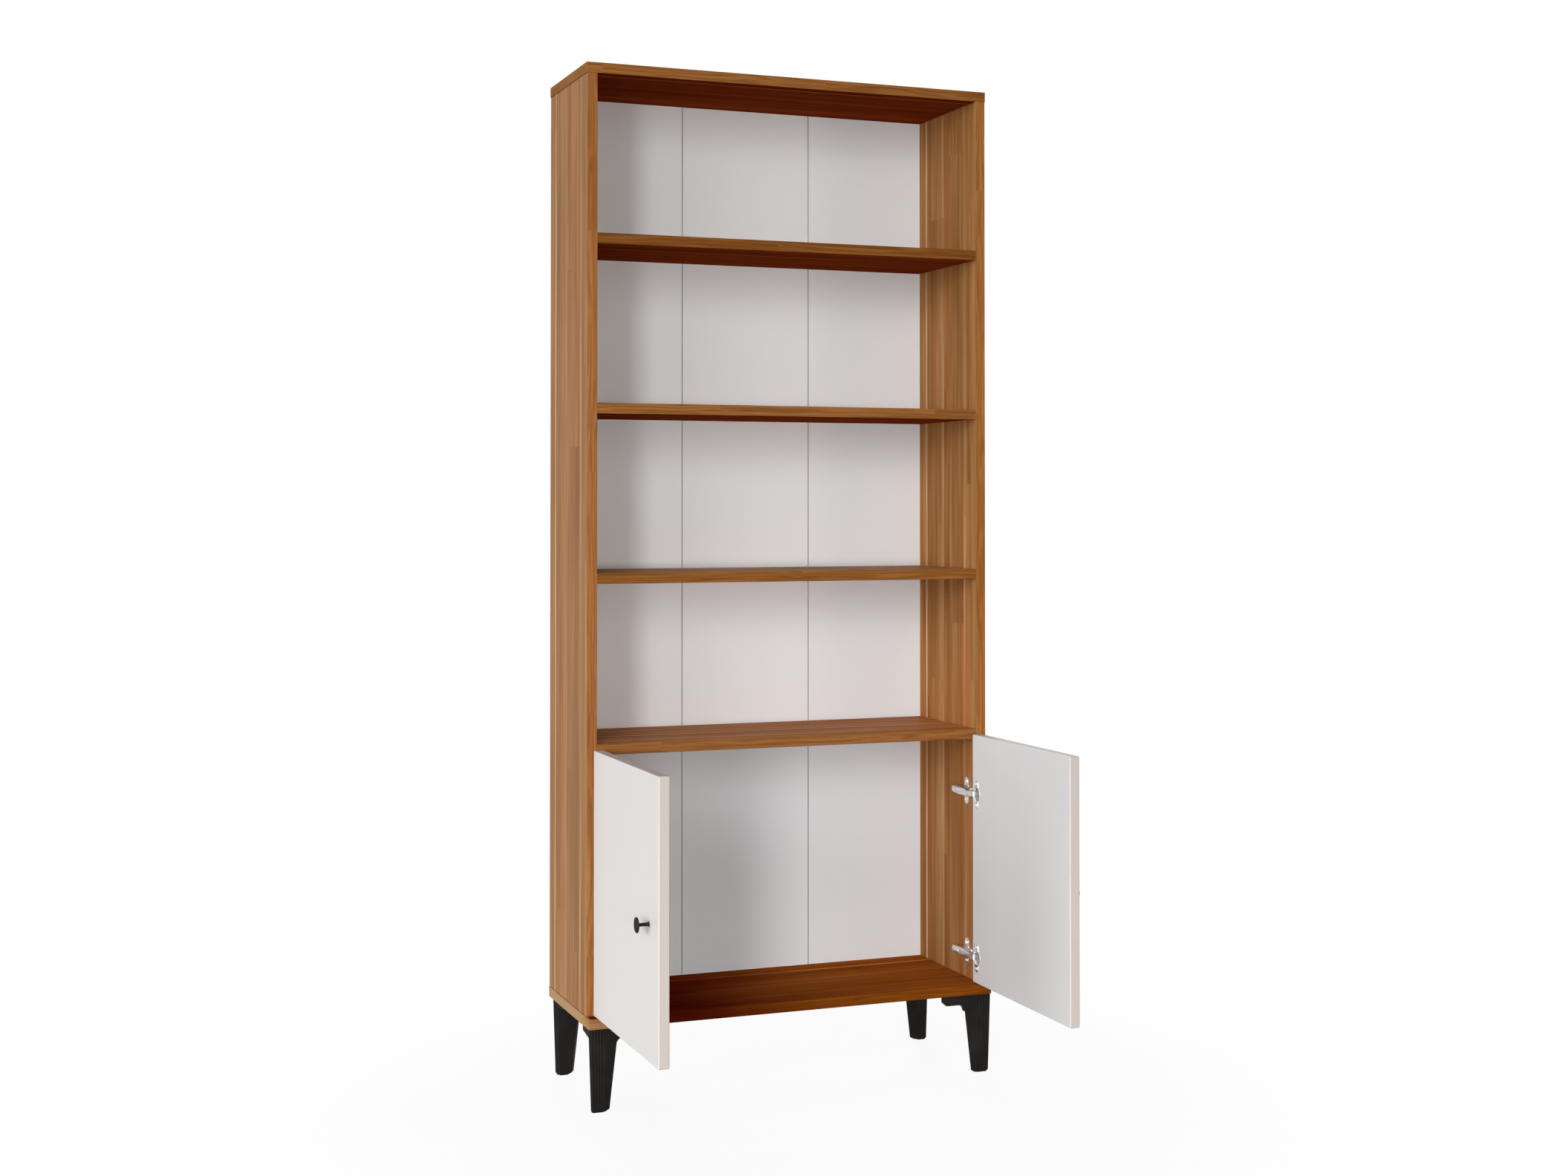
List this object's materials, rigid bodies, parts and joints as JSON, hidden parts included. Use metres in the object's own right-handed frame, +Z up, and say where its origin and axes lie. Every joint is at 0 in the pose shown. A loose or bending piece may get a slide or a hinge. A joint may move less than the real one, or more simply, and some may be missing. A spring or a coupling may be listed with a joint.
{
  "type": "bookcase with cabinet doors",
  "caption": "Tall free-standing bookcase with open shelves above a cupboard with hinged doors, wood-look boards, pale doors and back, on short fluted corner legs.",
  "frame": {"origin": "on the floor, under the middle of the whole object with both doors open at a right angle", "axes": "+Z up, +X to the right as seen from the front, the open front faces -Y"},
  "size_m": [0.7702, 0.6188, 1.776],
  "materials": {
    "walnut_board": "satin wood-grain foil on board",
    "back_sheet": "pale grey lacquered hardboard",
    "joint_tape": "matt paper tape",
    "door_white": "satin off-white foil on board",
    "leg_plastic": "moulded black, fluted",
    "knob_metal": "dark bronze lacquer",
    "hinge_steel": "bright nickel plate",
    "screw_steel": "zinc-plated steel",
    "dowel_wood": "bare beech"
  },
  "bodies": {
    "case": {"left_side": "walnut_board", "right_side": "walnut_board", "top_panel": "walnut_board", "bottom_panel": "walnut_board", "cabinet_shelf": "walnut_board", "lower_shelf": "walnut_board", "middle_shelf": "walnut_board", "upper_shelf": "walnut_board", "back_left": "back_sheet", "back_middle": "back_sheet", "back_right": "back_sheet", "back_joint_tapes": "joint_tape", "front_left_leg": "leg_plastic", "front_right_leg": "leg_plastic", "rear_left_leg": "leg_plastic", "rear_right_leg": "leg_plastic", "cam_bolts": "screw_steel", "cam_locks": "screw_steel", "tie_screws": "screw_steel", "back_nails": "screw_steel", "hinge_plate_screws": "screw_steel", "hinge_rail_screws": "screw_steel", "leg_screws": "screw_steel", "left_lower_hinge_arm": "hinge_steel", "left_lower_hinge_plate": "hinge_steel", "left_upper_hinge_arm": "hinge_steel", "left_upper_hinge_plate": "hinge_steel", "right_lower_hinge_arm": "hinge_steel", "right_lower_hinge_plate": "hinge_steel", "right_upper_hinge_arm": "hinge_steel", "right_upper_hinge_plate": "hinge_steel", "wooden_dowels": "dowel_wood"},
    "left_door": {"left_door": "door_white", "left_knob": "knob_metal", "left_knob_stud": "screw_steel", "left_hinge_pins": "screw_steel", "left_cup_screws": "screw_steel", "left_lower_hinge_cup": "hinge_steel", "left_upper_hinge_cup": "hinge_steel"},
    "right_door": {"right_door": "door_white", "right_knob": "knob_metal", "right_knob_stud": "screw_steel", "right_hinge_pins": "screw_steel", "right_cup_screws": "screw_steel", "right_lower_hinge_cup": "hinge_steel", "right_upper_hinge_cup": "hinge_steel"}
  },
  "joints": [
    {"name": "left_door_swing", "type": "hinge", "parent": "case", "child": "left_door", "pos_m": [-0.35759, 0.04664, 0.353], "axis": [0, 0, 1], "range_deg": [-5, 90]},
    {"name": "right_door_swing", "type": "hinge", "parent": "case", "child": "right_door", "pos_m": [0.35759, 0.04664, 0.353], "axis": [0, 0, -1], "range_deg": [-5, 90]}
  ]
}
